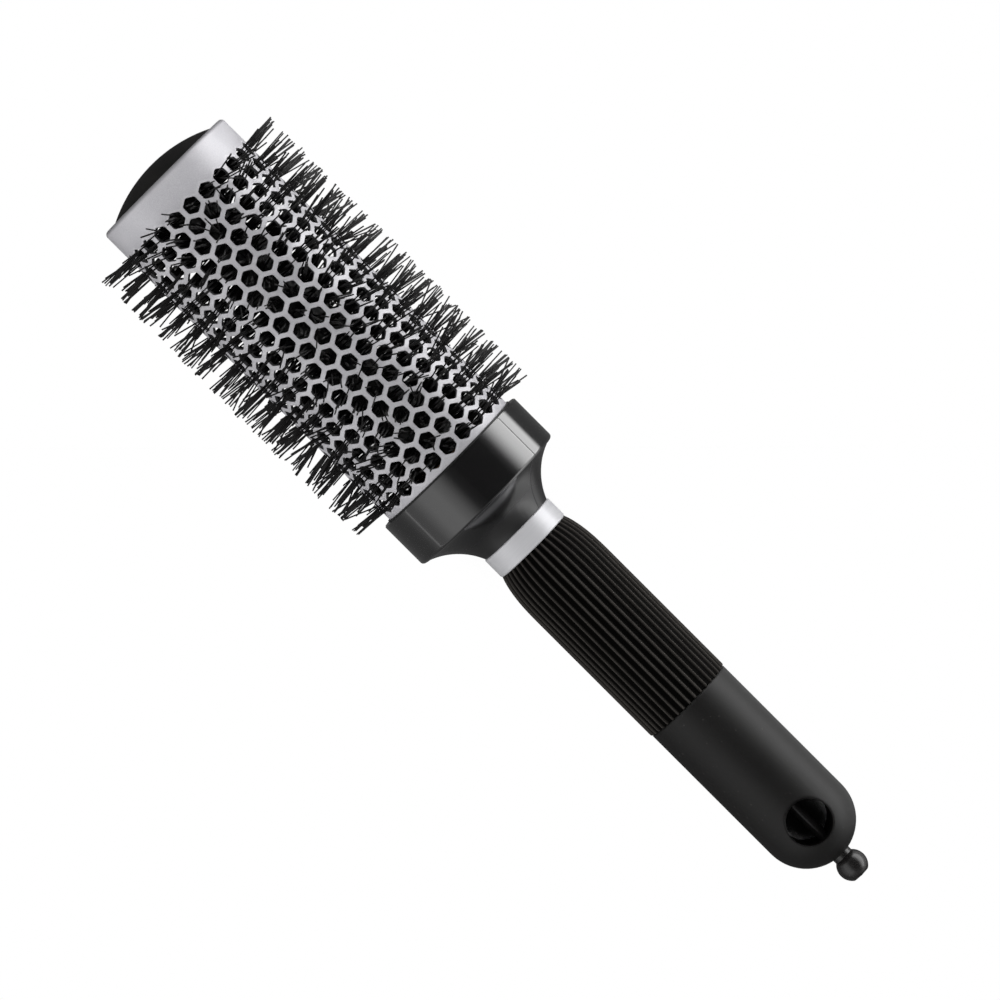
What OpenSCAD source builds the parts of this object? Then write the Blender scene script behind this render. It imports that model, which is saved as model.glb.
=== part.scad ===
// Round barrel brush: a vented, ceramic-coated tube round a core of nylon bristles, on a ribbed
// grip whose tail stores a pull-out sectioning pick. Millimetres.
// The brush lies level along X with its domed tip at +X. +Z is up, along the hanging hole, and the
// origin is on the axis at half the overall length.

/* [Barrel] */
// Outside diameter of the barrel tube
barrel_d = 43; // [42:0.5:46]
// Wall thickness of the barrel tube
barrel_wall = 0.9; // [0.7:0.1:1.2]
// Height of the domed tip above the barrel's rim
dome_h = 4.2; // [3:0.1:6]
// Distance from the dome's apex to the first row of holes
first_row = 15; // [14:0.5:18]
// Distance between two rows of holes
row_pitch = 4.75; // [4.75:0.05:5.25]
// Rows of holes under each slice of bristles
rows_per_slice = 2; // [1, 2]
// Holes round the barrel in each row
holes_round = 24; // [20:2:24]
// Width of a hexagonal hole across its flats
hole_flats = 4.1; // [3:0.1:4.2]

/* [Bristles] */
// Diameter over the bristle tips
bristle_d = 62; // [56:1:68]
// Thickness of a bristle at its root
bristle_root = 0.8; // [0.5:0.05:0.9]
// Thickness of a bristle at its tip
bristle_tip = 0.6; // [0.4:0.05:0.8]
// Diameter of the mat of roots packed round the wire stem
mat_d = 8; // [7.5:0.5:10]
// Diameter of the wire stem
stem_d = 3.6; // [3:0.1:4]

/* [Collar] */
// Outside diameter of the collar
collar_d = 47.5; // [47.5:0.5:52]
// Depth of barrel held inside the collar
socket_depth = 9.5; // [6:0.5:10]
// Radius of the flare from the collar down to its neck
flare_r = 18.6; // [18:0.2:19.2]

/* [Handle] */
// Width of the satin metal ferrule
ferrule_l = 6.3; // [4:0.1:8]
// Length of the ribbed rubber grip
grip_l = 57; // [45:1:70]
// Largest diameter of the grip, over its ribs
grip_d = 26.6; // [26.4:0.1:30]
// Ribs round the grip
ribs = 38; // [24:1:44]
// Height of a rib above the grip's skin
rib_h = 0.6; // [0.3:0.1:0.8]
// Width of a rib
rib_w = 0.9; // [0.6:0.1:1.1]
// Diameter of the handle's tail
tail_d = 26; // [24:0.2:26.2]
// Length of the tail from the grip to the centre of its round end
tail_l = 44; // [35:0.5:60]
// Diameter of the hanging hole
hang_d = 12.4; // [12.2:0.1:14]

/* [Pick] */
// Diameter of the pick's knob
knob_d = 8.4; // [7:0.1:10]
// Diameter of the pick's shaft
pick_d = 3; // [2.5:0.1:3]
// Length of the pick's shaft inside the tail
pick_l = 49; // [40:1:50]

/* [Hidden] */
smooth = 96;       // sides that a round surface is drawn with
fine = 32;         // sides of a small round
cut = 1;           // how far a cutter runs past the surface that it cuts
slices = 10;
rows = slices * rows_per_slice;

// Radii
barrel_r = barrel_d / 2;
bore_r = barrel_r - barrel_wall;
roll_r = 1.2;                     // outer radius of the barrel's rolled rim
rim_r = bore_r - 3;               // opening that the dome fills
hole_r = hole_flats / sqrt(3);
collar_r = collar_d / 2;
ring_r = barrel_r + 0.5;          // heat ring between the barrel and the collar
collar_edge = 1;
neck_r = 11.2;                    // the collar where it meets the ferrule
ferrule_r = 11.55;
core_r = 9;                       // handle core inside the ferrule
sleeve_r = 9.6;                   // handle core inside the grip
spigot_r = 7;                     // handle core inside the collar
tail_r = tail_d / 2;
seam = 0.25;                      // chamfer that shows as a seam between two pieces
pick_gap = 0.1;                   // radial clearance round the pick's shaft
pick_neck_d = 5.5;
knob_flat = 3.35;                 // from the knob's centre to its flat end
nub_h = 0.3;                      // moulding mark on the knob's flat end

// Stations, measured along the axis from the dome's apex towards the tail
rim_s = dome_h;
mat_s = first_row - row_pitch / 2;
slice_l = rows_per_slice * row_pitch;
mat_end_s = mat_s + slices * slice_l;
collar_s = mat_end_s + 1.8;
barrel_end_s = collar_s + socket_depth;
shoulder_s = collar_s + socket_depth + 4.6;
flare_h = 10.5;
neck_s = shoulder_s + flare_h;
grip_s = neck_s + ferrule_l;
tail_s = grip_s + grip_l;
hang_s = tail_s + tail_l;
tail_end_s = hang_s + tail_r;
pick_neck_s = tail_end_s - 0.6;
knob_s = tail_end_s + 4;
overall_l = knob_s + knob_flat + nub_h;
stem_s = rim_s + barrel_wall + 1.6;
stem_end_s = grip_s + 10;

// Puts a piece drawn along +Z from the dome's apex, with +X up, into the brush's own frame.
module along_brush() {
    translate([overall_l / 2, 0, 0]) rotate([0, -90, 0]) children();
}

// A solid turned round the brush's axis from a profile of (radius, station).
module turned() {
    along_brush() rotate_extrude($fn = smooth) children();
}

// The part of a profile between two stations, out to a radius.
module band(s0, s1, r) {
    translate([0, s0]) square([r, s1 - s0]);
}

// A band whose outer corners are cut back at both ends, as a seam.
module seamed_band(s0, s1, r) {
    polygon([
        [0, s0], [r - seam, s0], [r, s0 + seam],
        [r, s1 - seam], [r - seam, s1], [0, s1],
    ]);
}

function row_s(row) = first_row + row * row_pitch;

// Every second row is turned by half a hole, which makes the honeycomb.
function hole_angle(row, i) = (i + (row % 2) / 2) * 360 / holes_round;

// The barrel's wall, with its tip rolled inward to a flat lip round the dome.
module barrel_wall_profile() {
    difference() {
        union() {
            band(rim_s + roll_r, barrel_end_s, barrel_r);
            band(rim_s, rim_s + roll_r, barrel_r - roll_r);
            translate([barrel_r - roll_r, rim_s + roll_r]) circle(roll_r, $fn = fine);
        }
        band(rim_s + barrel_wall, barrel_end_s + cut, bore_r);
        band(rim_s - cut, rim_s + barrel_wall + cut, rim_r);
    }
}

module barrel_tube() {
    color("gainsboro") difference() {
        turned() barrel_wall_profile();
        along_brush()
            for (row = [0 : rows - 1], i = [0 : holes_round - 1])
                translate([0, 0, row_s(row)])
                    rotate([0, 0, hole_angle(row, i)])
                        translate([bore_r - cut, 0, 0])
                            rotate([0, 90, 0])
                                cylinder(h = barrel_wall + 2 * cut, r = hole_r, $fn = 6);
    }
}

// The dome comes out through the barrel's lip, and its flange bears on the lip from inside.
module tip_cap() {
    dome_r = (rim_r * rim_r + dome_h * dome_h) / (2 * dome_h);
    flange_s = rim_s + barrel_wall;
    color("dimgray") turned() difference() {
        union() {
            intersection() {
                translate([0, dome_r]) circle(dome_r, $fn = smooth);
                band(0, rim_s, rim_r);
            }
            band(rim_s, flange_s, rim_r);
            band(flange_s, flange_s + 1.6, bore_r - 0.1);
            band(flange_s + 1.6, mat_s, mat_d / 2);
        }
        band(stem_s, mat_s + cut, stem_d / 2);
    }
}

// Two wires twisted tight on the bristles, drawn as the round rod that they fill. Its rear end
// is moulded into the handle.
module wire_stem() {
    color("silver") turned() band(stem_s, stem_end_s, stem_d / 2);
}

// One bristle along +X: it starts inside the mat of roots and tapers to its cut tip.
module bristle() {
    r = bristle_root / 2;
    t = bristle_tip / 2;
    x0 = mat_d / 2 - 0.6;
    x1 = bristle_d / 2;
    polyhedron(
        points = [
            [x0, -r, -r], [x0, r, -r], [x0, r, r], [x0, -r, r],
            [x1, -t, -t], [x1, t, -t], [x1, t, t], [x1, -t, t],
        ],
        faces = [
            [0, 1, 2], [0, 2, 3], [4, 6, 5], [4, 7, 6], [0, 4, 5], [0, 5, 1],
            [1, 5, 6], [1, 6, 2], [2, 6, 7], [2, 7, 3], [3, 7, 4], [3, 4, 0],
        ]
    );
}

// A slice of the mat round the stem, with a bristle out through each hole above it.
module bristle_slice(k) {
    color([0.08, 0.08, 0.09]) along_brush() union() {
        translate([0, 0, mat_s + k * slice_l]) difference() {
            cylinder(h = slice_l, d = mat_d, $fn = smooth);
            translate([0, 0, -cut]) cylinder(h = slice_l + 2 * cut, d = stem_d, $fn = smooth);
        }
        for (row = [k * rows_per_slice : (k + 1) * rows_per_slice - 1], i = [0 : holes_round - 1])
            translate([0, 0, row_s(row)]) rotate([0, 0, hole_angle(row, i)]) bristle();
    }
}

module bristles_01() { bristle_slice(0); }
module bristles_02() { bristle_slice(1); }
module bristles_03() { bristle_slice(2); }
module bristles_04() { bristle_slice(3); }
module bristles_05() { bristle_slice(4); }
module bristles_06() { bristle_slice(5); }
module bristles_07() { bristle_slice(6); }
module bristles_08() { bristle_slice(7); }
module bristles_09() { bristle_slice(8); }
module bristles_10() { bristle_slice(9); }

// A thin sleeve that keeps the hot barrel off the collar. Its edge shows as a dark line.
module heat_ring() {
    color([0.05, 0.05, 0.05]) turned() difference() {
        band(collar_s - 0.5, barrel_end_s, ring_r);
        band(collar_s - cut, barrel_end_s + cut, barrel_r);
    }
}

// Closes the barrel inside the collar and centres the wire stem in it.
module barrel_plug() {
    color("saddlebrown") turned() difference() {
        union() {
            band(collar_s, barrel_end_s, bore_r - 0.05);
            band(mat_end_s, collar_s, mat_d / 2);
        }
        band(mat_end_s - cut, barrel_end_s + cut, stem_d / 2);
    }
}

// Socket for the barrel, a rounded shoulder, and a hollow flare down to the neck.
module collar() {
    flare_top_s = neck_s + sqrt(flare_r * flare_r - pow(flare_r - 1.4, 2));
    color([0.12, 0.12, 0.12]) turned() difference() {
        union() {
            band(collar_s + seam, shoulder_s - collar_edge, collar_r);
            band(collar_s, collar_s + seam, collar_r - seam);
            translate([collar_r - collar_edge, shoulder_s - collar_edge])
                circle(collar_edge, $fn = fine);
            difference() {
                band(shoulder_s - collar_edge, neck_s, collar_r - collar_edge);
                translate([neck_r + flare_r - 1.4, flare_top_s]) circle(flare_r, $fn = smooth);
            }
        }
        band(collar_s - cut, barrel_end_s, ring_r);
        band(barrel_end_s - cut, neck_s + cut, spigot_r);
    }
}

module ferrule() {
    color("silver") turned() difference() {
        seamed_band(neck_s, grip_s, ferrule_r);
        band(neck_s - cut, grip_s + cut, core_r);
    }
}

// The grip swells from the ferrule in a cubic ease over its first stretch.
swell_l = 16;
swell_h = grip_d / 2 - ferrule_r + 0.15;
function grip_radius(s) = grip_d / 2 - swell_h * pow(max(0, 1 - (s - grip_s) / swell_l), 3);

module grip_outline(below) {
    steps = 8;
    polygon([
        [0, grip_s],
        [grip_radius(grip_s) - below, grip_s],
        for (i = [1 : steps])
            let (s = grip_s + swell_l * i / steps) [grip_radius(s) - below, s],
        [grip_d / 2 - below, tail_s - 2 * seam],
        [grip_d / 2 - below - 2 * seam, tail_s],
        [0, tail_s],
    ]);
}

// A rubber sleeve with a straight rib along it at every step round.
module grip_sleeve() {
    color([0.09, 0.09, 0.09]) difference() {
        union() {
            turned() grip_outline(rib_h);
            intersection() {
                turned() grip_outline(0);
                along_brush()
                    for (i = [0 : ribs - 1])
                        rotate([0, 0, i * 360 / ribs])
                            translate([sleeve_r + 0.6, -rib_w / 2, grip_s])
                                cube([grip_d / 2 - sleeve_r, rib_w, grip_l]);
            }
        }
        turned() band(grip_s - cut, tail_s + cut, sleeve_r);
    }
}

// One moulding: the core under the ferrule and the grip, and the bare tail with its round end.
module handle_body() {
    color([0.2, 0.2, 0.2]) difference() {
        turned() difference() {
            union() {
                band(barrel_end_s, neck_s, spigot_r);
                band(neck_s, grip_s, core_r);
                band(grip_s, tail_s, sleeve_r);
                band(tail_s + seam, hang_s, tail_r);
                band(tail_s, tail_s + seam, tail_r - seam);
                intersection() {
                    translate([0, hang_s]) circle(tail_r, $fn = smooth);
                    band(hang_s, tail_end_s + cut, tail_r);
                }
            }
            band(barrel_end_s - cut, stem_end_s, stem_d / 2);
            band(pick_neck_s - pick_l - 1, tail_end_s + cut, pick_d / 2 + pick_gap);
            band(pick_neck_s, tail_end_s + cut, pick_neck_d / 2 + pick_gap);
        }
        along_brush() translate([0, 0, hang_s]) rotate([0, 90, 0]) {
            cylinder(h = tail_d + 2 * cut, d = hang_d, center = true, $fn = smooth);
            for (side = [0, 1]) mirror([0, 0, side])
                translate([0, 0, tail_r - 2]) cylinder(
                    h = 2 + cut, r1 = hang_d / 2 - 0.2, r2 = hang_d / 2 + 1.4, $fn = smooth);
        }
    }
}

// The pick's shaft runs up the tail and across the hanging hole to a round point. Its knob has
// a flat end with a small moulding mark.
module sectioning_pick() {
    point_r = 0.8;
    taper_l = 22;
    tip_s = pick_neck_s - pick_l;
    color([0.06, 0.06, 0.06]) turned() {
        translate([0, tip_s + point_r]) intersection() {
            circle(point_r, $fn = fine);
            translate([0, -point_r]) square(2 * point_r);
        }
        polygon([
            [0, tip_s + point_r], [point_r, tip_s + point_r],
            [pick_d / 2, tip_s + taper_l], [pick_d / 2, pick_neck_s], [0, pick_neck_s],
        ]);
        band(pick_neck_s, knob_s, pick_neck_d / 2);
        intersection() {
            translate([0, knob_s]) circle(d = knob_d, $fn = smooth);
            band(knob_s - knob_d, knob_s + knob_flat, knob_d);
        }
        band(knob_s, overall_l, 0.45);
    }
}

barrel_tube();
tip_cap();
wire_stem();
bristles_01();
bristles_02();
bristles_03();
bristles_04();
bristles_05();
bristles_06();
bristles_07();
bristles_08();
bristles_09();
bristles_10();
heat_ring();
barrel_plug();
collar();
ferrule();
grip_sleeve();
handle_body();
sectioning_pick();
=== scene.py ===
# %% [markdown]
# # A round barrel brush
# A thermal brush is a metal tube, punched all over with hexagonal holes, round a core of nylon
# bristles. Hot air goes in through the holes and the bristles hold the hair against the warm
# tube. The frame is a set of exact solids in metres. This lesson dresses them: what repeats is
# grown by Geometry Nodes, what is turned on a lathe is revolved from its profile, and every
# finish is a small set of nodes.

# %% The frame
import math

import bmesh
import bpy
import numpy as np
from mathutils import Matrix, Vector


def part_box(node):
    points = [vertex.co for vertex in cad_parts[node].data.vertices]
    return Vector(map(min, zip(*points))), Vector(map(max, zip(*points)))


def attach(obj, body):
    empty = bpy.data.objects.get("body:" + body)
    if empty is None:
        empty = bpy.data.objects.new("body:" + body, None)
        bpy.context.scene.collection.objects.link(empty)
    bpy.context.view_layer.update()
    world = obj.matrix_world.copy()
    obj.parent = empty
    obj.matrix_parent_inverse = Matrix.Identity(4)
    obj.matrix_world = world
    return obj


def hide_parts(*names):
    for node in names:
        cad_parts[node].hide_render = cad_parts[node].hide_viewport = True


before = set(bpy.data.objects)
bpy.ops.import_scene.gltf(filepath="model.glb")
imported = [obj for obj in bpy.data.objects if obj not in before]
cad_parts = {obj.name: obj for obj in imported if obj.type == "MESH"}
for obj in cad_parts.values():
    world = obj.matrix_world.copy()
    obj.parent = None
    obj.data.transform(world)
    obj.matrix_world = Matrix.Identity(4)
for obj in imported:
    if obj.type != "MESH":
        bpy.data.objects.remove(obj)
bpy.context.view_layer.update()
MM = 0.001

# %% [markdown]
# ## Where things are
# The solids say where each piece goes. The brush lies along X with its domed tip at +X, so a
# place along it is an x, and everything round is a distance from the X axis. Reading the boxes
# keeps the dressing on the solids if a size changes.

# %% Sizes that come from the solids
FIRST_ROW_BACK = 15 * MM  # from the dome's top to the middle of the first row of holes
HANG_BACK = 44 * MM  # from the grip to the middle of the hanging hole

tip_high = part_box("tip_cap")[1]
tube_low, tube_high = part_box("barrel_tube")
bristle_low, bristle_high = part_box("bristles_10")
collar_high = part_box("collar")[1]
ferrule_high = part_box("ferrule")[1]
grip_low, grip_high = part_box("grip_sleeve")
handle_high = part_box("handle_body")[1]

tube_r = tube_high.z
bristle_r = bristle_high.z
tail_r = handle_high.z
row_pitch = 4.75 * MM
rows = 20
holes_round = 24
first_row_x = tip_high.x - FIRST_ROW_BACK
last_row_x = first_row_x - (rows - 1) * row_pitch
hang_x = grip_low.x - HANG_BACK
print(f"tube {tube_r / MM:.2f} mm, bristles {bristle_r / MM:.2f} mm, "
      f"last row at {last_row_x / MM:.2f} mm")

# %% [markdown]
# ## The camera
# The brush is seen from almost straight above, with its axis across the frame's diagonal. A
# long lens far away keeps the barrel's sides parallel. The camera's three axes are built as
# vectors: one back towards the camera, and two that are turned about it.

# %% Camera
CAMERA_LEAN = math.radians(2.8)
CAMERA_ROLL = math.radians(135.02)
CAMERA_DISTANCE = 2.0
CAMERA_LENS, CAMERA_SENSOR = 276.5, 36  # millimetres, as on a real camera
AIM_ALONG, AIM_ACROSS = 5.3 * MM, 2.4 * MM
back = Vector((math.sin(CAMERA_LEAN), 0, math.cos(CAMERA_LEAN)))
along = (Vector((1, 0, 0)) - back * back.x).normalized()
across = back.cross(along)
right = along * math.cos(CAMERA_ROLL) - across * math.sin(CAMERA_ROLL)
up = along * math.sin(CAMERA_ROLL) + across * math.cos(CAMERA_ROLL)
target = Vector((AIM_ALONG, 0, 0)) - across * AIM_ACROSS

camera_data = bpy.data.cameras.new("camera")
camera_data.lens, camera_data.sensor_width = CAMERA_LENS, CAMERA_SENSOR
camera_data.clip_start, camera_data.clip_end = 0.05, 50
camera = bpy.data.objects.new("camera", camera_data)
bpy.context.scene.collection.objects.link(camera)
turn = Matrix((right, up, back)).transposed()
camera.matrix_world = Matrix.Translation(target + back * CAMERA_DISTANCE) @ turn.to_4x4()
bpy.context.scene.camera = camera
print("camera at", [round(v, 3) for v in camera.location])

# %% [markdown]
# ## Nodes as arithmetic
# A node tree is easier to read as a formula than as a list of links. `Wire` wraps a socket, and
# its operators add Math nodes, so `1 - mask * 0.4` is a tree. `Tree.node` makes every other
# node: its type, its settings, and what goes into its sockets. Shaders and geometry share both.


# %% Wire and Tree
class Wire:
    """A socket that takes part in arithmetic: each operator adds a Math node."""

    def __init__(self, tree, socket):
        self.tree, self.socket = tree, socket

    def at(self, name):
        """Another output of the same node."""
        outputs = self.socket.node.outputs
        return Wire(self.tree, next(s for s in outputs if s.enabled and s.name == name))

    def __add__(self, other):
        return self.tree.math("ADD", self, other)

    def __sub__(self, other):
        return self.tree.math("SUBTRACT", self, other)

    def __rsub__(self, other):
        return self.tree.math("SUBTRACT", other, self)

    def __mul__(self, other):
        return self.tree.math("MULTIPLY", self, other)

    def __truediv__(self, other):
        return self.tree.math("DIVIDE", self, other)

    __radd__, __rmul__ = __add__, __mul__


class Tree:
    """A node tree that is written as expressions."""

    def __init__(self, tree):
        self.tree = tree

    def node(self, kind, settings=None, inputs=None):
        """Makes a node, settings first, then its sockets. Gives its first output as a Wire."""
        made = self.tree.nodes.new(kind)
        for name, value in (settings or {}).items():
            if name == "stops":
                ramp = made.color_ramp
                while len(ramp.elements) < len(value):
                    ramp.elements.new(0.5)
                for element, (position, level) in zip(ramp.elements, value):
                    element.position, element.color = position, (level, level, level, 1)
            else:
                setattr(made, name, value)
        for key, value in (inputs or {}).items():
            if isinstance(key, int):
                socket = made.inputs[key]
            else:
                socket = next(s for s in made.inputs if s.enabled and s.name == key)
            if isinstance(value, Wire):
                self.tree.links.new(value.socket, socket)
            else:
                socket.default_value = value
        outputs = [s for s in made.outputs if s.enabled]
        return Wire(self, outputs[0]) if outputs else None

    def math(self, operation, *values):
        return self.node("ShaderNodeMath", {"operation": operation}, dict(enumerate(values)))

    def ease(self, value, low, high):
        """0 below low, 1 above high, and a smooth step between."""
        inputs = {"Value": value, "From Min": low, "From Max": high}
        return self.node("ShaderNodeMapRange", {"interpolation_type": "SMOOTHSTEP"}, inputs)

    def split(self, vector):
        parts = self.node("ShaderNodeSeparateXYZ", None, {"Vector": vector})
        return parts, parts.at("Y"), parts.at("Z")

    def join(self, x, y, z):
        return self.node("ShaderNodeCombineXYZ", None, {"X": x, "Y": y, "Z": z})

    def vector(self, operation, *values):
        settings = {"operation": operation}
        return self.node("ShaderNodeVectorMath", settings, dict(enumerate(values)))


# %% [markdown]
# ## From a rule to a mesh
# A Geometry Nodes group is made once, with named inputs for its sizes. `grow` hangs it on a
# starting mesh, sets the inputs by their sockets' identifiers, takes the evaluated result as a
# plain mesh and drops the modifier, so that nothing live is left on a finished piece.


# %% Helpers for groups and pieces
def node_group(name, inputs):
    """A Geometry Nodes group. inputs is {label: (socket type, value)}."""
    group = bpy.data.node_groups.new(name, "GeometryNodeTree")
    face = group.interface
    face.new_socket("Geometry", in_out="INPUT", socket_type="NodeSocketGeometry")
    for label, (kind, value) in inputs.items():
        socket = face.new_socket(label, in_out="INPUT", socket_type="NodeSocket" + kind)
        if value is not None:
            socket.default_value = value
    face.new_socket("Geometry", in_out="OUTPUT", socket_type="NodeSocketGeometry")
    tree = Tree(group)
    return group, tree, tree.node("NodeGroupInput")


def close_group(tree, geometry, material):
    """Ends a group: real geometry, then its material."""
    real = tree.node("GeometryNodeRealizeInstances", None, {"Geometry": geometry})
    painted = tree.node("GeometryNodeSetMaterial", None, {"Geometry": real, "Material": material})
    tree.node("NodeGroupOutput", None, {"Geometry": painted})


def add_object(name, mesh):
    obj = bpy.data.objects.new(name, mesh)
    bpy.context.scene.collection.objects.link(obj)
    return obj


def grow(name, seed_mesh, group, settings):
    """The mesh that a group makes from seed_mesh."""
    carrier = add_object(name + "_carrier", seed_mesh)
    modifier = carrier.modifiers.new("rule", "NODES")
    modifier.node_group = group
    for item in group.interface.items_tree:
        if item.in_out == "INPUT" and item.name in settings:
            modifier[item.identifier] = settings[item.name]
    depsgraph = bpy.context.evaluated_depsgraph_get()
    mesh = bpy.data.meshes.new_from_object(
        carrier.evaluated_get(depsgraph), preserve_all_data_layers=True, depsgraph=depsgraph
    )
    mesh.name = name
    mesh.materials.clear()
    mesh.materials.append(settings["Material"])
    mesh.polygons.foreach_set("material_index", [0] * len(mesh.polygons))
    bpy.data.objects.remove(carrier)
    bpy.data.meshes.remove(seed_mesh)
    return mesh


def finish_piece(obj, body, slot, *nodes):
    """Rides the piece on its body and puts it in place of its solids. slot is not used."""
    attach(obj, body)
    if nodes:
        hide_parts(*nodes)
    print(f"{obj.name}: {len(obj.data.vertices)} points, {len(obj.data.polygons)} faces")


# %% [markdown]
# ## Finishes
# A real surface is never one flat value. Each finish below starts from Object coordinates,
# which are the brush's own metres, and adds the grain, the cloudiness and the small unevenness
# that its material has at its true scale. What is the same all over goes straight on the
# shader's own socket, and only what changes over the surface gets a wire.


# %% A finish in one call
def emptied_tree(owner):
    """The node tree of a material or a world, with nothing in it yet."""
    owner.use_nodes = True
    owner.node_tree.nodes.clear()
    return Tree(owner.node_tree)


def finish(name, varying, constants):
    """A material. varying(tree, place) gives the wired sockets, constants the plain ones."""
    material = bpy.data.materials.new(name)
    tree = emptied_tree(material)
    place = tree.node("ShaderNodeTexCoord").at("Object")
    wired = varying(tree, place)
    shader = tree.node("ShaderNodeBsdfPrincipled", None, {**constants, **wired})
    tree.node("ShaderNodeOutputMaterial", None, {"Surface": shader})
    print(f"finish {name}: {', '.join(wired)} vary over it")
    return material


def noise(tree, place, size, detail=2.0):
    """Noise from 0 to 1 whose features are about size metres across."""
    inputs = {"Vector": place, "Scale": 1 / size, "Detail": detail}
    return tree.node("ShaderNodeTexNoise", None, inputs)


def blend(tree, factor, colour_a, colour_b):
    inputs = {"Factor": factor, "A": (*colour_a, 1), "B": (*colour_b, 1)}
    return tree.node("ShaderNodeMix", {"data_type": "RGBA"}, inputs)


def bump(tree, height, distance, strength=1.0):
    inputs = {"Height": height, "Distance": distance, "Strength": strength}
    return tree.node("ShaderNodeBump", None, inputs)


def brush_polar(tree, place):
    """x, the distance from the brush's axis, and the angle round it from 0 to 1."""
    x, y, z = tree.split(place)
    radius = tree.math("SQRT", y * y + z * z)
    angle = tree.math("ARCTAN2", y, z) / math.tau + 0.5
    return x, radius, angle


# %% [markdown]
# The barrel is aluminium under a thin fired coat. The coat is a plain silver grey with fine
# flakes in it: satin, not mirror bright. A cloudy noise moves the roughness a little, flakes
# speckle the colour, and a shallow bump gives the orange-peel skin of a sprayed coat. The
# holes' walls, the tube's inside and the rolled rim are painted darker, as painted shade, and
# made a little more metallic. The narrow webs are painted a little paler than the plain bands:
# painted light against the shade that the tufts cast on them. Each face carries a number, kind,
# that tells the material where it is.


# %% Ceramic coat
RIM_SHADE_REACH = 1.3 * MM  # how far back from the tip the rim is painted darker: painted shade
RIM_SHADE_SHARE = 0.6  # how much painted shade the rim gets, where a hole is 1
HOLE_KIND = 1.5  # faces inside a hole have a higher kind
WEB_KIND = -0.5  # faces of the plain bands have a lower kind
# the flakes' share of the tone, and the webs' painted light against the tufts' shade
SPECKLE, WEB_PAINTED_LIGHT = 0.5, 0.33


def ceramic(tree, place):
    flakes = noise(tree, place, 0.22 * MM, 1.0)
    clouds = noise(tree, place, 9 * MM, 3.0)
    peel = noise(tree, place, 0.9 * MM, 2.0)
    speckle = tree.ease(flakes + clouds * 0.5, 0.55, 1.0)
    x, y, z = tree.split(place)
    kind = tree.node("ShaderNodeAttribute", {"attribute_name": "kind"}).at("Fac")
    in_hole = tree.math("GREATER_THAN", kind, HOLE_KIND)
    on_web = tree.math("GREATER_THAN", kind, WEB_KIND)
    # The holes' walls, the tube's inside and the rolled rim are painted dark and made more
    # metallic: painted shade.
    at_rim = tree.ease(x, tube_high.x - RIM_SHADE_REACH, tube_high.x - 0.2 * RIM_SHADE_REACH) * RIM_SHADE_SHARE
    painted_hole_rim_shade = tree.math("MAXIMUM", in_hole, at_rim)
    # The webs are painted paler than the plain bands: painted light against the shade the tufts
    # cast.
    tone_and_web_light = speckle * SPECKLE + on_web * WEB_PAINTED_LIGHT
    coated = blend(tree, tone_and_web_light, (0.330, 0.325, 0.345), (0.460, 0.455, 0.475))
    return {
        "Base Color": tree.node("ShaderNodeMix", {"data_type": "RGBA"}, {
            "Factor": painted_hole_rim_shade, "A": coated, "B": (0.10, 0.10, 0.105, 1)}),
        "Metallic": 0.12 + painted_hole_rim_shade * 0.3,
        "Roughness": 0.30 + clouds * 0.10 + flakes * 0.06,
        "Normal": bump(tree, peel + flakes * 0.2, 0.02 * MM, 0.35),
    }


ceramic_coat = finish("ceramic_coat", ceramic, {"Specular IOR Level": 0.6})


# %% [markdown]
# Plain mouldings differ only in their skin. The cap is spark-eroded to a fine matte grain, the
# pick is smooth and glossy, and the heat sleeve and the plug are as the tool left them. One
# maker takes the two tones, the size and depth of the grain, the roughness and its spread.


# %% Plain mouldings
def moulding(deep, worn, grain, depth, roughness, spread):
    """What varies over a plain moulding: its tone, its roughness and its grain."""

    def varying(tree, place):
        fine = noise(tree, place, grain, 3.0)
        broad = noise(tree, place, 14 * MM, 2.0)
        shade = tree.ease(fine * 0.6 + broad * 0.4, 0.35, 0.7)
        return {
            "Base Color": blend(tree, shade, deep, worn),
            "Roughness": roughness + (fine - 0.5) * spread + (broad - 0.5) * spread,
            "Normal": bump(tree, fine, depth, 0.5),
        }

    return varying


cap_matte = finish(
    "cap_matte",
    moulding((0.0004, 0.0004, 0.0004), (0.010, 0.0093, 0.0088), 0.30 * MM, 0.10 * MM, 0.55, 0.30),
    {"Specular IOR Level": 0.18},
)
pick_gloss = finish(
    "pick_gloss",
    moulding((0.004, 0.004, 0.004), (0.008, 0.007, 0.007), 0.5 * MM, 0.01 * MM, 0.24, 0.12),
    {"Specular IOR Level": 0.75},
)
ring_black = finish(
    "ring_black",
    moulding((0.010, 0.010, 0.010), (0.018, 0.018, 0.018), 0.4 * MM, 0.02 * MM, 0.5, 0.1),
    {},
)
plug_brown = finish(
    "plug_brown",
    moulding((0.10, 0.06, 0.035), (0.15, 0.09, 0.05), 0.6 * MM, 0.03 * MM, 0.6, 0.1),
    {},
)


# %% [markdown]
# The collar comes out of a two-part mould and is then polished. Where the two halves met, a
# hair-thin parting line runs along it, one on each side. It is drawn by its distance round the
# collar, as a dull line with a shallow step. The wheel doesn't reach into the hollow flare, so
# that stays duller than the band, and dullest at the neck.


# %% Collar gloss with its parting lines
PARTING = math.radians(46)
PARTING_HALF = 0.09 * MM
FLARE_WHOLE, FLARE_STARTS = 1.6 * MM, 0.4 * MM  # this far under the band's radius
NECK_WHOLE, NECK_ENDS = -1 * MM, 5 * MM  # places along the axis
COLLAR_TONES = (0.0022, 0.0022, 0.0025), (0.0042, 0.0040, 0.0042)


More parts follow.
